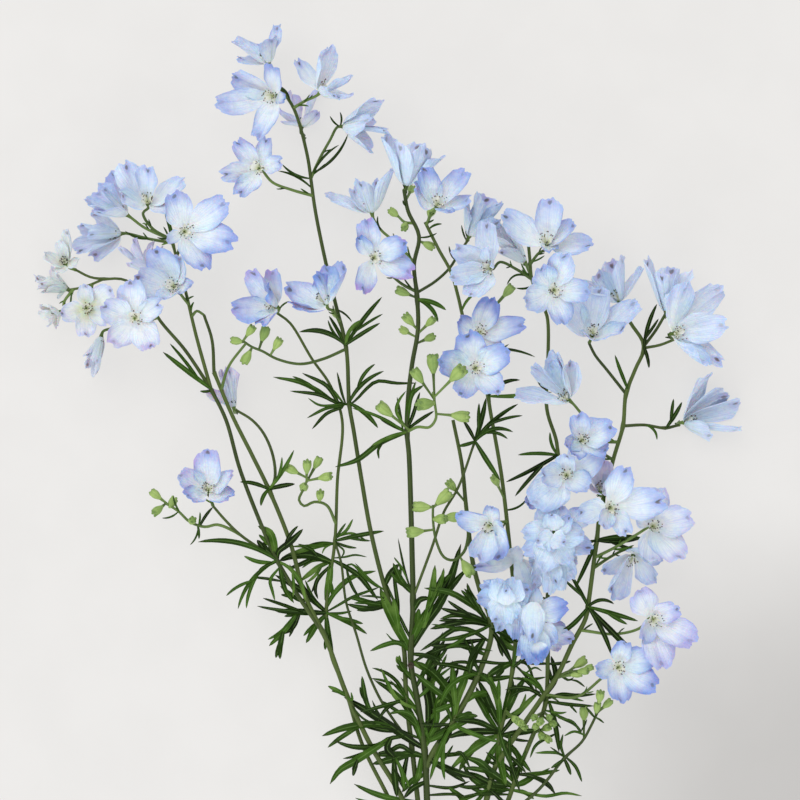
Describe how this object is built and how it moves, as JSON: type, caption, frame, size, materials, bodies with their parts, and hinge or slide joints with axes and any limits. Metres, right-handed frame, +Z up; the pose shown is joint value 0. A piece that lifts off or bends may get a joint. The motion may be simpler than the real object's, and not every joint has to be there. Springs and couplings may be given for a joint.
{
  "type": "cut delphinium spray",
  "caption": "Cut, loosely branched delphinium spray lying on a surface, with pale blue five-sepalled flowers, clustered green buds and finely cut leaves.",
  "frame": {"origin": "on the surface that the spray lies on, under the middle of its box", "axes": "+X across the spray to the picture's right, +Y along it from the cut stem end to the top flowers, +Z up from the surface, toward the picture's eye"},
  "size_m": [0.4091, 0.5632, 0.0645],
  "materials": {
    "green": "satin leaf and stem",
    "sepals_blue": "matt, thin sepal",
    "sepals_pale": "matt, thin sepal",
    "sepals_lilac": "matt, thin sepal",
    "sepals_green": "matt, thin sepal, half open"
  },
  "bodies": {
    "root": {"stems_leaves_and_buds": "green", "bloom_01": "sepals_blue", "bloom_02": "sepals_blue", "bloom_03": "sepals_blue", "bloom_04": "sepals_blue", "bloom_05": "sepals_lilac", "bloom_06": "sepals_blue", "bloom_07": "sepals_blue", "bloom_08": "sepals_blue", "bloom_09": "sepals_blue", "bloom_10": "sepals_blue", "bloom_11": "sepals_lilac", "bloom_12": "sepals_blue", "bloom_13": "sepals_pale", "bloom_14": "sepals_green", "bloom_15": "sepals_green", "bloom_16": "sepals_green", "bloom_17": "sepals_pale", "bloom_18": "sepals_green", "bloom_19": "sepals_lilac", "bloom_20": "sepals_blue", "bloom_21": "sepals_blue", "bloom_22": "sepals_blue", "bloom_23": "sepals_blue", "bloom_24": "sepals_blue", "bloom_25": "sepals_blue", "bloom_26": "sepals_blue", "bloom_27": "sepals_blue", "bloom_28": "sepals_blue", "bloom_29": "sepals_pale", "bloom_30": "sepals_blue", "bloom_31": "sepals_blue", "bloom_32": "sepals_blue", "bloom_33": "sepals_blue", "bloom_34": "sepals_blue", "bloom_35": "sepals_blue", "bloom_36": "sepals_blue", "bloom_37": "sepals_blue", "bloom_38": "sepals_blue", "bloom_39": "sepals_blue", "bloom_40": "sepals_blue", "bloom_41": "sepals_blue", "bloom_42": "sepals_lilac", "bloom_43": "sepals_blue", "bloom_44": "sepals_pale", "bloom_45": "sepals_blue", "bloom_46": "sepals_blue", "bloom_47": "sepals_blue", "bloom_48": "sepals_blue", "bloom_49": "sepals_blue", "bloom_50": "sepals_blue", "bloom_51": "sepals_blue", "bloom_52": "sepals_lilac", "bloom_53": "sepals_pale", "bloom_54": "sepals_lilac", "bloom_55": "sepals_blue"}
  },
  "joints": []
}
